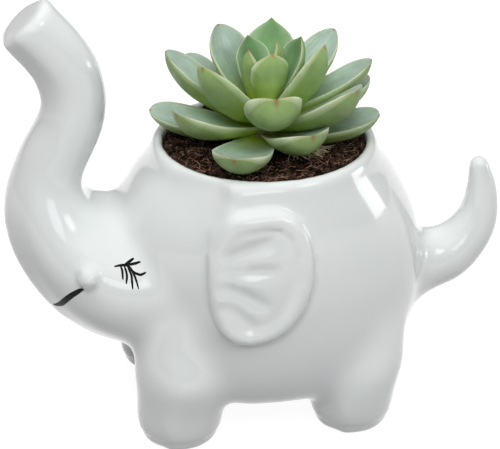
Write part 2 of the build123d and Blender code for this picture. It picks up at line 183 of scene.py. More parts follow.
def values_between(knots, values, at):
    """Monotone cubic through the knots, with harmonic-mean slopes as in PCHIP."""
    step = np.diff(knots)
    rate = np.diff(values) / step
    slope = np.zeros(len(knots))
    same = rate[:-1] * rate[1:] > 0
    weight_a = 2 * step[1:] + step[:-1]
    weight_b = step[1:] + 2 * step[:-1]
    safe_a = np.where(same, rate[:-1], 1.0)
    safe_b = np.where(same, rate[1:], 1.0)
    mean = (weight_a + weight_b) / (weight_a / safe_a + weight_b / safe_b)
    slope[1:-1] = np.where(same, mean, 0.0)
    slope[0], slope[-1] = rate[0], rate[-1]
    cell = np.clip(np.searchsorted(knots, at, side="right") - 1, 0, len(step) - 1)
    t = (at - knots[cell]) / step[cell]
    h = step[cell]
    return (
        values[cell] * (1 + 2 * t) * (1 - t) ** 2
        + slope[cell] * h * t * (1 - t) ** 2
        + values[cell + 1] * t * t * (3 - 2 * t)
        + slope[cell + 1] * h * t * t * (t - 1)
    )


def grid_faces(rows, columns, closed_rows=False, closed_columns=False):
    """Quads of a rows by columns grid of points, closed round either way."""
    row = np.arange(rows if closed_rows else rows - 1)
    column = np.arange(columns if closed_columns else columns - 1)
    i, j = np.meshgrid(row, column, indexing="ij")
    i2, j2 = (i + 1) % rows, (j + 1) % columns
    corners = [i * columns + j, i2 * columns + j, i2 * columns + j2, i * columns + j2]
    return np.stack(corners, -1).reshape(-1, 4)


def new_piece(name, points, faces, material, smooth=True):
    """Mesh object from points and faces, in metres in the shared frame."""
    mesh = bpy.data.meshes.new(name)
    cells = faces.tolist() if isinstance(faces, np.ndarray) else faces
    mesh.from_pydata(points.tolist(), [], cells)
    mesh.polygons.foreach_set("use_smooth", np.full(len(mesh.polygons), smooth))
    mesh.materials.append(material)
    mesh.validate()
    mesh.update()
    piece = bpy.data.objects.new(name, mesh)
    bpy.context.scene.collection.objects.link(piece)
    return piece


def put_attribute(piece, name, values):
    """Store one number per point under a name that the material reads."""
    layer = piece.data.attributes.new(name, "FLOAT", "POINT")
    layer.data.foreach_set("value", np.asarray(values, dtype=np.float32))


def mesh_points(mesh):
    """All points of a mesh as an array."""
    flat = np.empty(len(mesh.vertices) * 3, dtype=np.float32)
    mesh.vertices.foreach_get("co", flat)
    return flat.reshape(-1, 3).astype(float)


def soft_step(low, high, values):
    """Smooth rise from 0 at low to 1 at high."""
    t = np.clip((values - low) / (high - low), 0, 1)
    return t * t * (3 - 2 * t)


def below(low, high, values):
    """Smooth fall from 1 at low to 0 at high."""
    return 1 - soft_step(low, high, values)


def band(low, full, fade, high, values):
    """Smooth rise from low to full, then fall from fade to high."""
    return soft_step(low, full, values) * below(fade, high, values)


def refinish(node, material):
    """Give one of the part's own nodes a finish."""
    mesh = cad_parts[node].data
    mesh.materials.clear()
    mesh.materials.append(material)


class NodeSheet:
    """Small helper that lays out a material's nodes one after another."""

    def __init__(self, name):
        self.material = bpy.data.materials.new(name)
        self.material.use_nodes = True
        self.tree = self.material.node_tree
        self.shader = self.tree.nodes["Principled BSDF"]
        self.place = self.add("TexCoord").outputs["Object"]

    def feed(self, socket, value):
        """Give an input a value, or link it to another node's output."""
        if isinstance(value, bpy.types.NodeSocket):
            self.tree.links.new(value, socket)
        elif socket.type == "RGBA":
            socket.default_value = (*value, 1.0)
        else:
            socket.default_value = value

    def add(self, kind, feeds=(), **settings):
        node = self.tree.nodes.new("ShaderNode" + kind)
        for key, value in settings.items():
            setattr(node, key, value)
        for key, value in feeds:
            self.feed(node.inputs[key], value)
        return node

    def set(self, **values):
        for key, value in values.items():
            self.feed(self.shader.inputs[key.replace("_", " ")], value)

    def noise(self, scale, detail=3.0, roughness=0.5, stretch=None, place=None):
        place = place or self.place
        if stretch:
            place = self.add("Mapping", [("Vector", place), ("Scale", stretch)]).outputs["Vector"]
        return self.add("TexNoise", [
            ("Vector", place), ("Scale", scale), ("Detail", detail), ("Roughness", roughness),
        ]).outputs["Fac"]

    def ramp(self, source, stops):
        ramp = self.add("ValToRGB", [("Fac", source)])
        while len(ramp.color_ramp.elements) < len(stops):
            ramp.color_ramp.elements.new(0.5)
        for element, (position, colour) in zip(ramp.color_ramp.elements, stops):
            element.position = position
            element.color = (*colour, 1.0)
        return ramp.outputs["Color"]

    def range(self, *values):
        names = ("Value", "From Min", "From Max", "To Min", "To Max")
        return self.add("MapRange", zip(names, values)).outputs["Result"]

    def math(self, operation, *values):
        return self.add("Math", enumerate(values), operation=operation).outputs["Value"]

    def mix(self, amount, first, second, blend="MIX"):
        feeds = [(0, amount), (6, first), (7, second)]
        return self.add("Mix", feeds, data_type="RGBA", blend_type=blend).outputs[2]

    def attribute(self, name):
        return self.add("Attribute", attribute_name=name).outputs["Fac"]

    def bump(self, height, strength, distance, *normal):
        names = ("Height", "Strength", "Distance", "Normal")
        values = (height, strength, distance, *normal)
        return self.add("Bump", zip(names, values)).outputs["Normal"]


def glaze_material(settings):
    """White gloss glaze: faint pooling, ripple, and bare clay under the feet."""
    sheet = NodeSheet("white_gloss_glaze")
    height = sheet.add("SeparateXYZ", [(0, sheet.place)]).outputs["Z"]
    pooled = [c * s for c, s in zip(settings.colour, (0.965, 0.975, 0.985))]
    cloud = sheet.ramp(sheet.noise(28.0, 2.0), [(0.30, settings.colour), (0.72, pooled)])
    foot = sheet.range(height, *CLAY_EDGE, 1.0, 0.0)
    grain = sheet.bump(sheet.noise(900.0, 2.0), 0.02, 0.0002)
    sheet.set(
        Base_Color=sheet.mix(foot, cloud, settings.clay_colour),
        Roughness=sheet.range(height, *CLAY_EDGE, 0.75, settings.roughness),
        Normal=sheet.bump(sheet.noise(75.0, 1.0), 0.06, 0.0012, grain),
        Coat_Weight=0.6, Coat_Roughness=0.03, IOR=1.5)
    return sheet.material


def paint_material():
    """Black brush paint over the glaze: even, dull, with a slight streak."""
    sheet = NodeSheet("black_brush_paint")
    streak = sheet.noise(1400.0, 3.0)
    black = sheet.ramp(streak, [(0.3, (0.004, 0.004, 0.006)), (0.8, (0.013, 0.013, 0.016))])
    sheet.set(
        Base_Color=black, Normal=sheet.bump(streak, 0.1, 0.0001),
        Roughness=0.5, Specular_IOR_Level=0.12)
    return sheet.material


def mix_material(name, dark, light, reddish):
    """Peat and coir: dark crumbs, paler and redder specks, and painted shade in noise patches
    that stand for hollows.
    """
    sheet = NodeSheet(name)
    crumbs = sheet.add("TexVoronoi", [("Scale", 520.0), ("Vector", sheet.place)])
    depth = crumbs.outputs["Distance"]
    base = sheet.ramp(depth, [(0.0, light), (0.45, dark), (1.0, [c * 0.4 for c in dark])])
    speck = sheet.range(sheet.noise(900.0, 4.0, 0.7), 0.56, 0.66, 0.0, 0.8)
    # Painted shade: patches chosen by noise are darkened as if they lay in shaded hollows
    hollow = sheet.range(sheet.noise(230.0, 2.0), 0.42, 0.60, 0.16, 1.35)
    grain = sheet.bump(sheet.noise(2200.0, 3.0), 0.5, 0.0004)
    sheet.set(
        Base_Color=sheet.mix(1.0, sheet.mix(speck, base, reddish), hollow, "MULTIPLY"),
        Normal=sheet.bump(depth, 0.9, 0.0009, grain), Roughness=0.93, Specular_IOR_Level=0.25)
    return sheet.material


def grained_material(name, tone, dark, light, grain, relief, roughness):
    """Two tones by one noise, and a grain by another."""
    sheet = NodeSheet(name)
    sheet.set(
        Base_Color=sheet.ramp(sheet.noise(*tone), [(0.3, dark), (0.7, light)]),
        Normal=sheet.bump(sheet.noise(*grain), *relief), Roughness=roughness)
    return sheet.material


def fibre_material(name, dark, light):
    """Dry coir or root fibre: brown along its length, matt."""
    return grained_material(name, (420.0, 3.0), dark, light, (3000.0, 2.0), (0.3, 0.0002), 0.8)


def mesh_material():
    """Black drain mesh: moulded plastic with a fine grain."""
    fine = (2600.0, 2.0)
    dark, light = (0.012, 0.012, 0.013), (0.03, 0.03, 0.032)
    return grained_material("black_mesh_plastic", fine, dark, light, fine, (0.3, 0.0001), 0.55)


def bark_material():
    """Short green-brown stem with leaf scars."""
    rings = (260.0, 4.0, 0.6, (0.5, 0.5, 2.5))
    dark, light = (0.16, 0.11, 0.05), (0.30, 0.30, 0.14)
    return grained_material("stem_bark", rings, dark, light, rings, (0.6, 0.0006), 0.75)


def leaf_material(settings):
    """Succulent leaf: waxy bloom over green, yellower base, pale margin, russet point."""
    sheet = NodeSheet("waxy_leaf")
    along, across, margin, face, number, young, tip = (
        sheet.attribute(name)
        for name in ("along", "across", "margin", "face", "number", "young", "tip"))
    base = settings.base_colour
    back_green = sheet.ramp(along, [(0.20, base), (0.75, settings.back_colour)])
    face_green = sheet.ramp(along, [(0.15, base), (0.45, settings.face_colour)])
    green = sheet.mix(face, back_green, face_green)

    grain = sheet.add("CombineXYZ", [
        (place, sheet.math("MULTIPLY", source, share))
        for place, (source, share) in enumerate(((along, 2.2), (across, 7.0), (number, 90.0)))])
    streak = sheet.noise(1.6, 5.0, 0.62, place=grain.outputs[0])
    toward_tip = sheet.range(along, 0.2, 0.8, 0.0, 1.0)
    inner = sheet.math("MULTIPLY", young, face)
    powder = sheet.math("MULTIPLY", toward_tip, sheet.range(face, 0.0, 1.0, 0.18, 0.95))
    powder = sheet.math("MULTIPLY", powder, sheet.range(streak, 0.30, 0.70, 0.45, 0.85))
    powder = sheet.math("MULTIPLY", powder, sheet.range(inner, 0.0, 1.0, 1.0, 0.25))
    green = sheet.mix(powder, green, settings.bloom_colour)
    green = sheet.mix(sheet.range(streak, 0.32, 0.40, 0.12, 0.0), green, (0.07, 0.16, 0.05))
    deep = sheet.math("MULTIPLY", inner, sheet.range(margin, 0.40, 0.85, 0.75, 0.0))
    green = sheet.mix(deep, green, settings.heart_colour)

    cloud = sheet.range(sheet.noise(95.0, 3.0, 0.55), 0.35, 0.65, -0.12, 0.16)
    own = sheet.math("FRACT", sheet.math("MULTIPLY", number, 7.3))
    shade = sheet.math("ADD", cloud, sheet.range(own, 0.0, 1.0, -0.10, 0.10))
    shade = sheet.math("ADD", shade, 1.0)
    tone = sheet.add("HueSaturation", [("Value", shade), ("Color", green)]).outputs["Color"]
    green = sheet.mix(sheet.range(margin, 0.88, 1.0, 0.0, 0.75), tone, settings.margin_colour)

    fine = sheet.bump(sheet.noise(2400.0, 2.0), 0.08, 0.0001)
    fine = sheet.bump(streak, 0.25, 0.0006, fine)
    sheet.set(
        Base_Color=sheet.mix(tip, green, settings.tip_colour),
        Normal=sheet.bump(sheet.noise(300.0, 3.0), 0.15, 0.0008, fine),
        Roughness=0.45, Specular_IOR_Level=0.4, Subsurface_Weight=0.22,
        Subsurface_Scale=0.004, Subsurface_Radius=(0.7, 1.0, 0.35))
    return sheet.material


def colour_value(name, description, default):
    """Colour setting."""
    return bpy.props.FloatVectorProperty(
        name=name, description=description, default=default,
        subtype="COLOR", size=3, min=0, max=1)


def length_value(name, description, default):
    """Length setting, in metres."""
    return bpy.props.FloatProperty(
        name=name, description=description, default=default, unit="LENGTH")


class GlazeSettings(bpy.types.PropertyGroup):
    colour: colour_value("Glaze colour", "Colour of the fired glaze", (0.775, 0.80, 0.785))
    clay_colour: colour_value("Clay colour", "Bare clay under the feet", (0.66, 0.60, 0.50))
    roughness: bpy.props.FloatProperty(
        name="Gloss roughness", description="Roughness of the glaze", default=0.14, min=0, max=1)
    cell: length_value("Skin cell", "Size of the skin's mesh cells", 1.22 * MM)
    blend_turns: bpy.props.IntProperty(
        name="Blend turns", description="How far the joins between forms are softened",
        default=240, min=0)
    stroke_width: length_value("Lash width", "Width of a painted lash", 0.85 * MM)
    mouth_width: length_value("Mouth width", "Width of the painted mouth", 2.1 * MM)
    stroke_height: length_value("Stroke height", "Height of the paint above the glaze", 0.16 * MM)


class LeafSettings(bpy.types.PropertyGroup):
    length: length_value("Leaf length", "Length of a full leaf", 42 * MM)
    half_width: length_value("Half width", "Half the width of a full leaf", 10.5 * MM)
    thickness: length_value("Thickness", "Thickness of a full leaf", 5 * MM)
    start: length_value("Base distance", "Distance of a leaf's base from the axis", 2 * MM)
    cup: bpy.props.FloatProperty(
        name="Cup", description="Rise of the edges over the middle, as a share of half width",
        default=0.20)
    face_colour: colour_value("Face colour", "Upper face", (0.210, 0.335, 0.155))
    back_colour: colour_value("Back colour", "Outer face", (0.225, 0.345, 0.080))
    base_colour: colour_value("Base colour", "Colour near the stem", (0.370, 0.490, 0.052))
    heart_colour: colour_value(
        "Heart colour", "Middle of the young leaves' faces", (0.105, 0.240, 0.078))
    bloom_colour: colour_value("Bloom colour", "Powdery bloom", (0.480, 0.580, 0.560))
    margin_colour: colour_value("Margin colour", "Thin pale edge", (0.640, 0.700, 0.480))
    tip_colour: colour_value("Tip colour", "Russet point", (0.330, 0.165, 0.075))


class MixSettings(bpy.types.PropertyGroup):
    crumbs: bpy.props.IntProperty(
        name="Crumbs", description="Number of loose crumbs on the mix", default=2600, min=0)
    fibres: bpy.props.IntProperty(
        name="Fibres", description="Number of coir fibres on the mix", default=420, min=0)
    roughness: length_value("Unevenness", "Height of the mix's lumps", 0.9 * MM)


class StageSettings(bpy.types.PropertyGroup):
    turn: bpy.props.FloatProperty(
        name="Camera turn", description="Camera's azimuth in degrees", default=-10.0)
    rise: bpy.props.FloatProperty(
        name="Camera rise", description="Camera's elevation in degrees", default=27.0)
    distance: length_value("Camera distance", "From the camera to what it looks at", 0.75)
    span: length_value("Width in view", "Width seen at that distance", 0.1925)


class PLANTER_OT_glazed_body(bpy.types.Operator):
    """Soft-jointed glazed skin over the fired shell"""
    bl_idname = "planter.glazed_body"
    bl_label = "Glazed body"

    def execute(self, context):
        settings = context.scene.planter_glaze
        shell = bmesh.new()
        for node in SHELL_NODES:
            shell.from_mesh(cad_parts[node].data)
        mesh = bpy.data.meshes.new("glazed_body")
        shell.to_mesh(mesh)
        shell.free()
        body = bpy.data.objects.new("glazed_body", mesh)
        context.scene.collection.objects.link(body)
        merge = body.modifiers.new("merge", "WELD")
        merge.merge_threshold = WELD_REACH
        cells = body.modifiers.new("cells", "REMESH")
        cells.mode = "VOXEL"
        cells.voxel_size = settings.cell
        cells.use_smooth_shade = True
        bake_modifiers(body)
        points = mesh_points(body.data)
        points = soften(body.data, points, settings.blend_turns)
        body.data.vertices.foreach_set("co", points.astype(np.float32).ravel())
        body.data.update()
        body.data.polygons.foreach_set("use_smooth", np.full(len(body.data.polygons), True))
        body.data.materials.append(glaze_material(settings))
        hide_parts(*SHELL_NODES)
        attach(body, "planter")
        return {"FINISHED"}


def bake_modifiers(piece):
    """Replace a piece's mesh by what its modifiers make of it."""
    bpy.context.view_layer.update()
    shown = piece.evaluated_get(bpy.context.evaluated_depsgraph_get())
    mesh = bpy.data.meshes.new_from_object(shown)
    mesh.name = piece.name
    piece.modifiers.clear()
    piece.data = mesh


def regions(points):
    """Share of each step that a place takes, share that calms it, and the ears.

    Each is a smooth function of place in millimetres. The share is full round
    the tops of the legs, the neck, the brim and the root of the tail. The calm
    takes the shoulders, haunches and flanks, where forms run into the body, and
    a little of everything else but the ears, the knobs and the inside.
    """
    x, y, z = (points / MM).T
    out = np.abs(y)
    ring = np.hypot(x - PLANT_CENTRE / MM, y)

    def beside(place, near, far):
        return below(near, far, np.abs(x - place))

    from_ear = np.hypot((x - EAR_MIDDLE[0]) / EAR_REACH[0], (z - EAR_MIDDLE[1]) / EAR_REACH[1])
    ear = below(1.02, 1.20, from_ear) * soft_step(30, 36, out)
    knob = below(7, 11, np.hypot(x - KNOB_MIDDLE[0], z - KNOB_MIDDLE[1]))
    free = (1 - ear) * (1 - knob)

    legs = band(9, 16, 44, 56, z)
    neck = below(-40, -28, x) * band(24, 34, 98, 108, z)
    trunk = below(-56, -48, x) * band(88, 98, 138, 150, z)
    rump = beside(64, 9, 18) * band(30, 36, 76, 84, z)
    brim = band(40.5, 43, 52, 60, ring) * soft_step(90, 97, z)
    share = np.max([legs, neck, trunk, rump, brim], axis=0) * free

    shoulder = beside(-36, 14, 30) * band(10, 24, 60, 76, z)
    haunch = beside(32, 14, 30) * band(10, 24, 52, 68, z)
    flank = beside(-18, 8, 24) * band(82, 92, 103, 107, z)
    sides = np.max([shoulder, haunch, flank], axis=0) * soft_step(18, 28, out) * free
    tail_root = beside(66, 8, 16) * below(16, 26, out) * band(32, 42, 68, 80, z)
    jaw = beside(-54, 18, 30) * below(24, 32, out) * band(22, 30, 44, 54, z)
    ends = np.maximum(soft_step(70, 76, x) * soft_step(80, 92, z), soft_step(138, 150, z))
    inside = below(42, 45, ring) * soft_step(98, 103, z)
    even = 0.3 * (1 - 0.67 * ends) * (1 - inside) * soft_step(1.5, 4, z) * (1 - 0.8 * brim)
    calm = np.max([sides, 0.7 * tail_root, 0.7 * jaw, even * free], axis=0)
    return share, calm, ear


def groove_feet(points):
    """Fine groove round each foot."""
    start, full, end = (reach * MM for reach in GROOVE_REACH)
    for side in (-1, 1):
        for place in FOOT_MIDDLES:
            from_foot = points[:, :2] - np.array([place * MM, side * FOOT_SPREAD * MM])
            reach = np.linalg.norm(from_foot, axis=1)
            rise = (points[:, 2] / MM - GROOVE_HEIGHT) / GROOVE_WIDTH
            groove = np.exp(-rise ** 2) * soft_step(start, full, reach) * (reach < end)
            points[:, :2] -= from_foot / reach[:, None] * (GROOVE_DEPTH * MM * groove)[:, None]


def soften(mesh, points, turns):
    """Move each point part way to its neighbours' mean, most where forms join.

    Every second turn steps back a little further than it went, which keeps the
    large forms from shrinking while the joins between them are rounded. Places
    that are to be calmed leave out the step back in the first turns, so that no
    bulge or crease stays there. The ears' hollows are then made deeper by what
    more smoothing would take from them, and the feet get their groove.
    """
    pairs = np.empty(len(mesh.edges) * 2, dtype=np.int32)
    mesh.edges.foreach_get("vertices", pairs)
    pairs = pairs.reshape(-1, 2)
    count = len(points)
    near = np.bincount(pairs.ravel(), minlength=count).astype(float)
    share, calm, ear = regions(points)

    def means(places):
        return np.stack([
            np.bincount(pairs[:, 0], places[pairs[:, 1], axis], count)
            + np.bincount(pairs[:, 1], places[pairs[:, 0], axis], count)
            for axis in range(3)], -1) / near[:, None]

    for turn in range(turns):
        least = FIRST_SHARE if turn < FIRST_TURNS else EAR_SHARE * ear * (turn < EAR_TURNS)
        loose = calm * (turn < turns * CALM_TURNS)
        ahead = STEP_AHEAD * np.maximum(np.maximum(share, loose), least)
        back = STEP_AHEAD * loose - STEP_BACK * share * (1 - loose)
        part = back if turn % 2 and turn >= FIRST_TURNS else ahead
        points = points + part[:, None] * (means(points) - points)
    plain = points
    for turn in range(CARVING_TURNS):
        plain = plain + STEP_AHEAD * ear[:, None] * (means(plain) - plain)
    groove_feet(points)
    sign = np.sign(points[:, 1])
    hollow = np.minimum((points[:, 1] - plain[:, 1]) * sign, 0)
    points[:, 1] += sign * ear * CARVING_DEPTH * hollow
    return np.clip(points, *np.array(CAD_BOUNDS))


# Painted strokes in the side view: millimetres along X and Z
MOUTH_STROKE = [
    (-70.3, 68.7), (-72.6, 66.6), (-74.9, 64.1), (-76.9, 60.8), (-78.2, 57.6), (-79.3, 55.4),
    (-80.3, 54.5),
]
LASH_STROKES = [
    [(-58.4, 76.1), (-56.3, 76.2), (-54.0, 76.1), (-52.4, 74.9), (-51.2, 72.5), (-50.2, 68.5)],
    [(-54.6, 76.2), (-52.8, 76.9), (-50.9, 77.8)],
    [(-53.5, 76.1), (-51.0, 76.3), (-48.6, 76.9)],
    [(-51.9, 74.3), (-50.7, 73.5), (-49.1, 73.0), (-47.0, 73.7)],
    [(-56.1, 76.2), (-55.6, 74.3), (-55.7, 72.0)],
    [(-54.7, 76.0), (-54.1, 73.3), (-54.6, 70.5)],
    [(-53.5, 75.5), (-52.4, 72.6), (-52.4, 68.6)],
]

# Rows and columns of a stroke, power of its swelling, how deep it sits in the
# glaze, and how far from the middle plane the rays that find the glaze start
STROKE_GRID = (36, 9)
STROKE_POWER = 0.25
STROKE_SINK = 0.1 * MM
RAY_START = 0.2


def stroke_skin(tree, stroke, side, width, height):
    """Brush stroke on the glaze: a flat-bottomed round bead along a curve.

    The curve is the monotone cubic through the stroke's places in the side
    view. Its width swells from a fine start as sin(pi t) to the power 0.25,
    and its section is height * sqrt(1 - s * s) over the skin.
    """
    rows, columns = STROKE_GRID
    knots = np.array(stroke) * MM
    run = np.concatenate([[0], np.cumsum(np.hypot(*np.diff(knots, axis=0).T))])
    t = np.linspace(0, 1, rows)
    at = t * run[-1]
    x, z = values_between(run, knots[:, 0], at), values_between(run, knots[:, 1], at)
    lean = np.stack([np.gradient(x), np.gradient(z)])
    lean /= np.hypot(*lean)
    swell = np.maximum(np.sin(np.pi * np.clip(t, 0.02, 0.98)), 0) ** STROKE_POWER
    half = (width / 2 * swell)[:, None]
    s = np.linspace(-1, 1, columns)
    across = (x[:, None] - lean[1][:, None] * half * s).ravel()
    upward = (z[:, None] + lean[0][:, None] * half * s).ravel()
    inward = Vector((0, -side, 0))
    hits = [
        tree.ray_cast(Vector((px, side * RAY_START, pz)), inward)
        for px, pz in zip(across, upward)]
    base = np.array([hit[0] for hit in hits])
    out = np.array([hit[1] for hit in hits])
    rise = (height * np.sqrt(np.clip(1 - s * s, 0, 1)) * np.ones(rows)[:, None]).ravel()
    top = (base + out * rise[:, None]).reshape(rows, columns, 3)
    under = (base - out * STROKE_SINK).reshape(rows, columns, 3)
    points = np.concatenate([top, under[:, ::-1]], 1).reshape(-1, 3)
    around = 2 * columns
    quads = grid_faces(rows, around, closed_columns=True)
    first, last = list(range(around)), list(range((rows - 1) * around, rows * around))
    if side > 0:
        quads = quads[:, ::-1]
        first.reverse()
    else:
        last.reverse()
    return points, quads.tolist() + [first, last]


class PLANTER_OT_painted_face(bpy.types.Operator):
    """Painted mouth and lashes on both cheeks"""
    bl_idname = "planter.painted_face"
    bl_label = "Painted face"

    def execute(self, context):
        settings = context.scene.planter_glaze
        body = bpy.data.objects["glazed_body"]
        tree = BVHTree.FromObject(body, context.evaluated_depsgraph_get())
        paint = paint_material()
        strokes = (
            ("mouth", [MOUTH_STROKE], settings.mouth_width),
            ("lashes", LASH_STROKES, settings.stroke_width))
        for side, label in ((-1, "left"), (1, "right")):
            for name, group, width in strokes:
                points, faces, start = [], [], 0
                for stroke in group:
                    skin, cells = stroke_skin(tree, stroke, side, width, settings.stroke_height)
                    faces += [[index + start for index in cell] for cell in cells]
                    points.append(skin)
                    start += len(skin)
                piece = new_piece(f"painted_{name}_{label}", np.concatenate(points), faces, paint)
                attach(piece, "planter")
        return {"FINISHED"}


def leaf_skin(settings, turn, rise, length_share, width_share, height_share, curl, plump, fine):
    """Leaf surface over u along the leaf and a round its section.

    With y = cos(a) across and half width w(u): the face is lift + cup * w * y * y,
    and the back lies below it by depth * (1 - y * y) to the power 0.62, or 0.40
    on blunt leaves, which rounds the margin. The leaf is then raised, turned and
    set on the stem.
    """
    rows, columns = LEAF_GRID
    ones = np.ones((rows, columns))
    length = settings.length * length_share
    width = settings.half_width * width_share
    thick = settings.thickness * width_share ** 0.5 * plump
    u = 1 - (1 - np.linspace(0, 1, rows)) ** ROW_CROWDING
    a = np.linspace(0, 2 * np.pi, columns, endpoint=False)
    blunt = np.clip(1 - fine / BLUNT_BELOW, 0, 1)
    outline = LEAF_BLUNT + (LEAF_SHARP - LEAF_BLUNT) * fine
    depths = LEAF_DEPTH + (LEAF_DEPTH_END - LEAF_DEPTH) * blunt
    half, depth, lift = (
        (scale * values_between(LEAF_ALONG, form, u))[:, None]
        for scale, form in ((width, outline), (thick, depths), (curl * length, LEAF_LIFT)))
    y = np.cos(a) * ones
    along = u[:, None] * ones
    is_back = np.sin(a) < -1e-9
    bulge = np.clip(1 - y * y, 0, 1) ** (BULGE_POWER - BLUNT_LOSS * blunt)
    ridge = np.exp(-(y / KEEL_WIDTH) ** 2) * soft_step(0.35, 0.8, along)
    keel = 1 + KEEL_HEIGHT * (1 - blunt) * ridge
    z_face = lift + settings.cup * half * y * y + FACE_SWELLING * depth * bulge * (1 - bulge)
    z_back = z_face - depth * bulge * keel
    x = settings.start + along * (length - settings.start)
    grid = np.stack([x, half * y, np.where(is_back, z_back, z_face)], -1)
    e, t = np.radians(rise), np.radians(turn)
    out = np.array([np.cos(e) * np.cos(t), np.cos(e) * np.sin(t), np.sin(e)])
    across = np.array([-np.sin(t), np.cos(t), 0])
    up = np.cross(out, across)
    origin = np.array([PLANT_CENTRE, 0, STEM_FOOT + height_share * STEM_RISE])
    points = origin + grid @ np.stack([out, across, up])
    ends = np.stack([points[0].mean(0), points[-1].mean(0)])
    margin = np.abs(y)
    away = np.hypot((1 - along) * length, half * y) / MM
    tip = 0.8 - 0.8 * soft_step(0.3, 1.5, away)
    tip = tip + 0.45 * below(3, 9, away) * soft_step(0.90, 1.0, margin)
    values = {
        "along": np.append(along, [0, 1]), "margin": np.append(margin, [0, 0]),
        "across": np.append(y, [0, 0]),
        "face": np.append(np.where(is_back, 0.0, 1.0) * ones, [0.5, 0.5]),
        "tip": np.append(np.clip(tip, 0, 1), [0, 1]),
    }
    faces = grid_faces(rows, columns, closed_columns=True)[:, ::-1].tolist()
    base, end, last = rows * columns, rows * columns + 1, (rows - 1) * columns
    faces += [[j, (j + 1) % columns, base] for j in range(columns)]
    faces += [[last + (j + 1) % columns, last + j, end] for j in range(columns)]
    return np.concatenate([points.reshape(-1, 3), ends]), faces, values


class PLANTER_OT_leaves(bpy.types.Operator):
    """Leaves of the rosette, each its own piece"""
    bl_idname = "planter.leaves"
    bl_label = "Leaves"

    def execute(self, context):
        settings = context.scene.planter_leaves
        wax = leaf_material(settings)
        for number, (name, *form) in enumerate(LEAVES):
            points, faces, values = leaf_skin(settings, *form)
            values["number"] = np.full(len(points), number / len(LEAVES))
            young = float(name.startswith("heart") or name == "upper_4")
            values["young"] = np.full(len(points), young)
            piece = new_piece("skin_" + name, points, faces, wax)
            for key, value in values.items():
                put_attribute(piece, key, value)
            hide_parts("leaf_" + name)
            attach(piece, "plant")
        return {"FINISHED"}


def lumps(x, y, rough, seed):
    """Uneven ground: a sum of plane waves of falling size in seeded directions."""
    rng = np.random.default_rng(seed)
    height = np.zeros_like(x)
    for octave in range(5):
        pitch = 2 * np.pi * 2.0 ** octave / LUMP_SIZE
        for wave in range(4):
            angle, phase = rng.uniform(0, 2 * np.pi, 2)
            run = x * np.cos(angle) + y * np.sin(angle)
            height += np.sin(pitch * run + phase) * 0.62 ** octave
    return rough * (0.55 + 0.45 * height / 4)


def ground(ring, grid, level, rough):
    """Lumpy ring of mix: polar grid with seeded lumps, closed below."""
    inner, outer = ring
    rows, columns = grid
    r = np.linspace(inner, outer, rows)[:, None]
    a = np.linspace(0, 2 * np.pi, columns, endpoint=False)
    x = PLANT_CENTRE + r * np.cos(a)
    y = r * np.sin(a)
    fade = soft_step(0, 1.2 * MM, r - inner) * soft_step(0, 0.6 * MM, outer - r)
    top = level + lumps(x, y, rough, LUMP_SEED) * (0.35 + 0.65 * fade)
    under = np.full_like(top, level - 0.3 * MM)
    points = np.concatenate([np.stack([x, y, top], -1), np.stack([x, y, under], -1)[::-1]])
    faces = grid_faces(2 * rows, columns, closed_rows=True, closed_columns=True)
    return points.reshape(-1, 3), faces


def scatter(count, ring, inset, seed):
    """Seeded places spread evenly over a ring, kept off its two edges."""
    rng = np.random.default_rng(seed)
    inner, outer = ring[0] + inset[0], ring[1] - inset[1]
    r = np.sqrt(rng.uniform(inner ** 2, outer ** 2, count))
    a = rng.uniform(0, 2 * np.pi, count)
    return PLANT_CENTRE + r * np.cos(a), r * np.sin(a), rng


def crumb_field(count, ring, inset, level, rough, seed):
    """Loose crumbs: one 20-sided form, squashed, turned and spread over a ring."""
    golden = (1 + 5 ** 0.5) / 2
    corners = np.array([
        (-1, golden, 0), (1, golden, 0), (-1, -golden, 0), (1, -golden, 0),
        (0, -1, golden), (0, 1, golden), (0, -1, -golden), (0, 1, -golden),
        (golden, 0, -1), (golden, 0, 1), (-golden, 0, -1), (-golden, 0, 1)]) / 1.9
    sides = np.array([
        (0, 11, 5), (0, 5, 1), (0, 1, 7), (0, 7, 10), (0, 10, 11), (1, 5, 9), (5, 11, 4),
        (11, 10, 2), (10, 7, 6), (7, 1, 8), (3, 9, 4), (3, 4, 2), (3, 2, 6), (3, 6, 8),
        (3, 8, 9), (4, 9, 5), (2, 4, 11), (6, 2, 10), (8, 6, 7), (9, 8, 1)])
    x, y, rng = scatter(count, ring, inset, seed)
    size = rng.uniform(0.35, 0.95, (count, 1, 1)) ** 1.4 * CRUMB_SIZE
    shape = corners[None] * (1 + rng.uniform(-0.35, 0.35, (count, 12, 1)))
    shape = shape * rng.uniform(0.5, 1.3, (count, 1, 3)) * size
    turn = rng.uniform(0, 2 * np.pi, count)
    cos, sin = np.cos(turn)[:, None], np.sin(turn)[:, None]
    px = shape[..., 0] * cos - shape[..., 1] * sin
    py = shape[..., 0] * sin + shape[..., 1] * cos
    base = level + lumps(x, y, rough, seed)
    pz = shape[..., 2] + base[:, None] + 0.2 * size[:, :, 0]
    points = np.stack([px + x[:, None], py + y[:, None], pz], -1).reshape(-1, 3)
    faces = (sides[None] + 12 * np.arange(count)[:, None, None]).reshape(-1, 3)
    return points, faces


def tubes(path, side, other, radius):
    """Round tubes along many paths, open at both ends."""
    a = np.linspace(0, 2 * np.pi, TUBE_SIDES, endpoint=False)[:, None]
    ring = side[:, :, None] * np.cos(a) + other[:, :, None] * np.sin(a)
    points = path[:, :, None] + ring * radius[:, :, None, None]
    quads = grid_faces(TUBE_STEPS, TUBE_SIDES, closed_columns=True)
    starts = TUBE_STEPS * TUBE_SIDES * np.arange(len(path))
    return points.reshape(-1, 3), (quads + starts[:, None, None]).reshape(-1, 4)


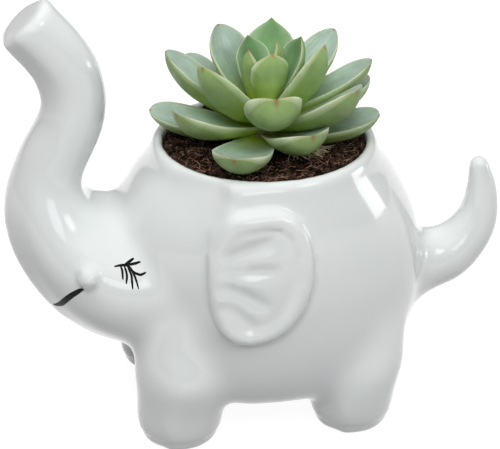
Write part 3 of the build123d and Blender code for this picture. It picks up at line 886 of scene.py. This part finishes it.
def fibre_field(starts, ends, sag, radius, seed):
    """Thin curved fibres: straight run plus sag and a seeded wander, round section."""
    rng = np.random.default_rng(seed)
    count = len(starts)
    t = np.linspace(0, 1, TUBE_STEPS)[None, :, None]
    path = starts[:, None] + (ends - starts)[:, None] * t
    wander = rng.normal(0, 1, (count, 1, 3)) * np.sin(np.pi * t)
    wander = wander + rng.normal(0, 0.6, (count, 1, 3)) * np.sin(2 * np.pi * t)
    path = path + wander * sag[:, None, None]
    lean = np.gradient(path, axis=1)
    lean /= np.linalg.norm(lean, axis=2, keepdims=True) + 1e-12
    side = np.cross(lean, np.array([0.13, 0.31, 0.94]))
    side /= np.linalg.norm(side, axis=2, keepdims=True) + 1e-12
    taper = 1 - 0.75 * t[:, :, 0] ** 2
    points, quads = tubes(path, side, np.cross(lean, side), radius[:, None] * taper)
    first = np.arange(TUBE_SIDES)[None] + TUBE_STEPS * TUBE_SIDES * np.arange(count)[:, None]
    last = first + (TUBE_STEPS - 1) * TUBE_SIDES
    return points, quads.tolist() + first[:, ::-1].tolist() + last.tolist()


def flat_fibres(count, ring, inset, level, rough, seed):
    """Fibres that lie on the mix, their ends kept inside the ring."""
    x, y, rng = scatter(count, ring, inset, seed)
    turn = rng.uniform(0, 2 * np.pi, count)
    run = rng.uniform(0.4, 1.0, count) * FIBRE_LENGTH
    ex, ey = x + run * np.cos(turn), y + run * np.sin(turn)
    reach = np.hypot(ex - PLANT_CENTRE, ey)
    pull = np.clip((ring[1] - inset[1]) / np.maximum(reach, 1e-9), 0, 1)
    ex, ey = PLANT_CENTRE + (ex - PLANT_CENTRE) * pull, ey * pull
    low = level + rough * 0.75
    starts = np.stack([x, y, low + rng.uniform(0, 0.7, count) * MM], -1)
    ends = np.stack([ex, ey, low + rng.uniform(0, 1.3, count) * MM], -1)
    sag = rng.uniform(0.2, 0.7, count) * MM
    radius = FIBRE_RADIUS * rng.uniform(0.6, 1.2, count)
    return fibre_field(starts, ends, sag, radius, seed + 1)


class PLANTER_OT_potting_mix(bpy.types.Operator):
    """Loose top of the potting mix, with crumbs and coir fibres"""
    bl_idname = "planter.potting_mix"
    bl_label = "Potting mix"

    def execute(self, context):
        settings = context.scene.planter_mix
        rough = settings.roughness
        peat = mix_material(
            "dark_peat_mix", (0.040, 0.021, 0.015), (0.120, 0.066, 0.046), (0.21, 0.10, 0.060))
        coir = fibre_material("coir_fibre", (0.13, 0.058, 0.036), (0.42, 0.25, 0.16))
        top = new_piece("mix_surface", *ground(MIX_RING, MIX_GRID, MIX_TOP, rough), peat)
        crumbs = new_piece("mix_crumbs", *crumb_field(
            settings.crumbs, MIX_RING, CRUMB_INSET, MIX_TOP, rough, CRUMB_SEED),
            peat, smooth=False)
        fibres = new_piece("mix_fibres", *flat_fibres(
            settings.fibres, MIX_RING, FIBRE_INSET, MIX_TOP, rough, FIBRE_SEED), coir)
        for piece in (top, crumbs, fibres):
            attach(piece, "planter")
        refinish("potting_mix", peat)
        return {"FINISHED"}


class PLANTER_OT_roots(bpy.types.Operator):
    """Top and sides of the root ball, with fine roots"""
    bl_idname = "planter.roots"
    bl_label = "Roots"

    def execute(self, context):
        settings = context.scene.planter_mix
        rough = settings.roughness
        peat = mix_material(
            "rooted_mix", (0.034, 0.017, 0.011), (0.10, 0.052, 0.032), (0.20, 0.10, 0.055))
        pale = fibre_material("pale_root", (0.42, 0.34, 0.21), (0.72, 0.64, 0.45))
        top = new_piece("root_ball_surface", *ground(BALL_RING, BALL_GRID, ROOT_TOP, rough), peat)
        crumbs = new_piece("root_ball_crumbs", *crumb_field(
            int(settings.crumbs * BALL_CRUMB_SHARE), BALL_RING, BALL_INSET, ROOT_TOP, rough,
            BALL_CRUMB_SEED), peat, smooth=False)
        rng = np.random.default_rng(ROOT_SEED)
        roots = new_piece("root_net", *self.root_net(rng), pale)
        shoots = new_piece("pale_rootlets", *self.rootlets(rng), pale)
        for piece in (top, crumbs, roots, shoots):
            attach(piece, "plant")
        refinish("root_ball", peat)
        return {"FINISHED"}

    def root_net(self, rng):
        """Roots that wind down the side of the root ball."""
        count = ROOTS
        a = rng.uniform(0, 2 * np.pi, count)
        low = ROOT_FOOT + 1.5 * MM
        z0 = rng.uniform(low + 10 * MM, ROOT_TOP - 1.0 * MM, count)
        z1 = np.maximum(z0 - rng.uniform(6, 26, count) * MM, low + 1.5 * MM)
        a1 = a + rng.normal(0, 0.35, count)
        t = np.linspace(0, 1, TUBE_STEPS)
        z = z0[:, None] + (z1 - z0)[:, None] * t
        wander = 0.10 * np.sin(2 * np.pi * t)[None] * rng.normal(0, 1, (count, 1))
        angle = a[:, None] + (a1 - a)[:, None] * t + wander
        outward = np.stack([np.cos(angle), np.sin(angle), np.zeros_like(angle)], -1)
        share = (z - ROOT_FOOT) / (ROOT_TOP - ROOT_FOOT)
        wall = (BALL_RADIUS + BALL_FLARE * share) * MM - ROOT_SINK * MM
        path = outward * wall[..., None] + np.array([PLANT_CENTRE, 0, 0])
        path[..., 2] = z
        lean = np.gradient(path, axis=1)
        lean /= np.linalg.norm(lean, axis=2, keepdims=True)
        radius = (ROOT_RADIUS * rng.uniform(0.5, 1.3, count))[:, None] * (1 - 0.6 * t ** 2)
        return tubes(path, np.cross(lean, outward), outward, radius)

    def rootlets(self, rng):
        """Pale air roots that hang in front of the stem onto the root ball."""
        count = ROOTLETS
        a = np.radians(rng.uniform(300, 330, count))
        r0 = rng.uniform(13, 20, count) * MM
        r1 = rng.uniform(20, 28, count) * MM
        z0 = ROOT_TOP + rng.uniform(1.2, 3.4, count) * MM
        turn = a + rng.normal(0, 0.16, count)
        z1 = ROOT_TOP + rng.uniform(0.8, 2.6, count) * MM
        starts = np.stack([PLANT_CENTRE + r0 * np.cos(a), r0 * np.sin(a), z0], -1)
        ends = np.stack([PLANT_CENTRE + r1 * np.cos(turn), r1 * np.sin(turn), z1], -1)
        sag = rng.uniform(0.5, 1.1, count) * MM
        return fibre_field(starts, ends, sag, np.full(count, ROOTLET_RADIUS), ROOTLET_SEED)


class PLANTER_OT_hidden_pieces(bpy.types.Operator):
    """Finishes of the stem and the drain mesh"""
    bl_idname = "planter.hidden_pieces"
    bl_label = "Stem and drain mesh"

    def execute(self, context):
        refinish("stem", bark_material())
        refinish("drain_mesh_pad", mesh_material())
        return {"FINISHED"}


# Lamps: name, place, size, power, colour, and whether the glaze mirrors them
WHITE, DAYLIGHT = (1.0, 1.0, 1.0), (0.98, 0.99, 1.0)
LAMPS = [
    ("top_lamp", (-0.20, -0.15, 0.95), 0.90, 3.9, WHITE, False),
    ("back_lamp", (0.30, 0.60, 0.75), 0.90, 3.2, WHITE, False),
    ("front_lamp", (-0.10, -0.65, 0.85), 0.70, 4.6, WHITE, False),
    ("near_window", (0.00, -0.88, 0.42), 0.34, 0.55, DAYLIGHT, True),
    ("high_window", (0.46, -0.62, 0.63), 0.35, 0.9, DAYLIGHT, True),
    ("side_window", (0.95, 0.00, 0.16), 0.28, 0.7, DAYLIGHT, True),
]
LAMP_ASPECT = 0.7

# What lamps and camera look at, the camera's sensor in millimetres, the floor's
# half width and level in metres, its grey and how bright it looks, and the
# strength of the background as a light and as it is seen
LAMP_AIM = Vector((0, 0, 0.07))
CAMERA_AIM = np.array([-2.681, 0, 73.7]) * MM
SENSOR_WIDTH = 36.0
FLOOR_HALF, FLOOR_LEVEL = 2.5, -0.2 * MM
FLOOR_GREY, FLOOR_GLOW = 0.22, 0.93
ROOM_LIGHT, BACKGROUND = 0.25, 1.0


class PLANTER_OT_stage(bpy.types.Operator):
    """Pale floor, soft studio light and the camera"""
    bl_idname = "planter.stage"
    bl_label = "Stage"

    def execute(self, context):
        self.floor()
        self.world(context)
        for lamp in LAMPS:
            self.lamp(*lamp)
        self.camera(context)
        context.scene.view_settings.view_transform = "Standard"
        return {"FINISHED"}

    def floor(self):
        """Matt floor that looks nearly white where the camera or the glaze sees it."""
        half, level = FLOOR_HALF, FLOOR_LEVEL
        points = np.array([(x * half, y * half, level) for x, y in (
            (-1, -1), (1, -1), (1, 1), (-1, 1))])
        sheet = NodeSheet("pale_floor")
        path = sheet.add("LightPath").outputs
        seen = sheet.math("MAXIMUM", path["Is Camera Ray"], path["Is Glossy Ray"])
        share = sheet.math("MULTIPLY", seen, FLOOR_GLOW)
        matt = sheet.add("BsdfDiffuse", [("Color", (FLOOR_GREY,) * 3)]).outputs[0]
        glow = sheet.add("Emission", [("Strength", share)]).outputs[0]
        both = sheet.add("AddShader", [(0, matt), (1, glow)]).outputs[0]
        sheet.feed(sheet.tree.nodes["Material Output"].inputs["Surface"], both)
        sheet.tree.nodes.remove(sheet.shader)
        floor = new_piece("floor", points, [(0, 1, 2, 3)], sheet.material)

    def world(self, context):
        """White background, dim as a light."""
        world = bpy.data.worlds.new("studio")
        context.scene.world = world
        world.use_nodes = True
        tree = world.node_tree
        back = tree.nodes["Background"]
        path = tree.nodes.new("ShaderNodeLightPath")
        strength = tree.nodes.new("ShaderNodeMix")
        strength.inputs["A"].default_value = ROOM_LIGHT
        strength.inputs["B"].default_value = BACKGROUND
        tree.links.new(path.outputs["Is Camera Ray"], strength.inputs["Factor"])
        back.inputs["Color"].default_value = (1, 1, 1, 1)
        tree.links.new(strength.outputs["Result"], back.inputs["Strength"])

    def lamp(self, name, place, size, power, colour, mirrored):
        """Area lamp that looks at the planter."""
        light = bpy.data.lights.new(name, "AREA")
        light.shape = "RECTANGLE"
        light.size, light.size_y = size, size * LAMP_ASPECT
        light.energy = power
        light.color = colour
        holder = bpy.data.objects.new(name, light)
        holder.location = place
        holder.rotation_euler = (LAMP_AIM - Vector(place)).to_track_quat("-Z", "Y").to_euler()
        holder.visible_glossy = mirrored
        bpy.context.scene.collection.objects.link(holder)

    def camera(self, context):
        """Camera before the planter's left side, from above."""
        settings = context.scene.planter_stage
        turn, rise = np.radians(settings.turn), np.radians(settings.rise)
        level = np.cos(rise)
        away = np.array([np.sin(turn) * level, -np.cos(turn) * level, np.sin(rise)])
        camera = bpy.data.cameras.new("camera")
        camera.sensor_width = SENSOR_WIDTH
        camera.lens = SENSOR_WIDTH * settings.distance / settings.span
        camera.clip_start, camera.clip_end = 0.01, 20.0
        holder = bpy.data.objects.new("camera", camera)
        holder.location = Vector(CAMERA_AIM + away * settings.distance)
        holder.rotation_euler = Vector(-away).to_track_quat("-Z", "Y").to_euler()
        context.scene.collection.objects.link(holder)
        context.scene.camera = holder


STEPS = (
    PLANTER_OT_glazed_body,
    PLANTER_OT_painted_face,
    PLANTER_OT_potting_mix,
    PLANTER_OT_roots,
    PLANTER_OT_leaves,
    PLANTER_OT_hidden_pieces,
    PLANTER_OT_stage,
)


class PLANTER_PT_sidebar(bpy.types.Panel):
    """Lists the planter's pieces and their settings"""
    bl_idname = "PLANTER_PT_sidebar"
    bl_label = "Elephant Planter"
    bl_space_type = "VIEW_3D"
    bl_region_type = "UI"
    bl_category = "Planter"

    def draw(self, context):
        column = self.layout.column()
        for step in STEPS:
            column.operator(step.bl_idname)
        for group in GROUPS:
            settings = getattr(context.scene, group)
            box = self.layout.box()
            for name in settings.__annotations__:
                box.prop(settings, name)


GROUPS = {
    "planter_glaze": GlazeSettings,
    "planter_leaves": LeafSettings,
    "planter_mix": MixSettings,
    "planter_stage": StageSettings,
}
CLASSES = (*GROUPS.values(), *STEPS, PLANTER_PT_sidebar)


def register():
    for kind in CLASSES:
        bpy.utils.register_class(kind)
    for name, group in GROUPS.items():
        setattr(bpy.types.Scene, name, bpy.props.PointerProperty(type=group))


def unregister():
    for name in GROUPS:
        delattr(bpy.types.Scene, name)
    for kind in reversed(CLASSES):
        bpy.utils.unregister_class(kind)


def main():
    """Dress the planter."""
    register()
    bpy.ops.planter.glazed_body()
    bpy.ops.planter.painted_face()
    bpy.ops.planter.potting_mix()
    bpy.ops.planter.roots()
    bpy.ops.planter.leaves()
    bpy.ops.planter.hidden_pieces()
    bpy.ops.planter.stage()


if __name__ == "__main__":
    main()
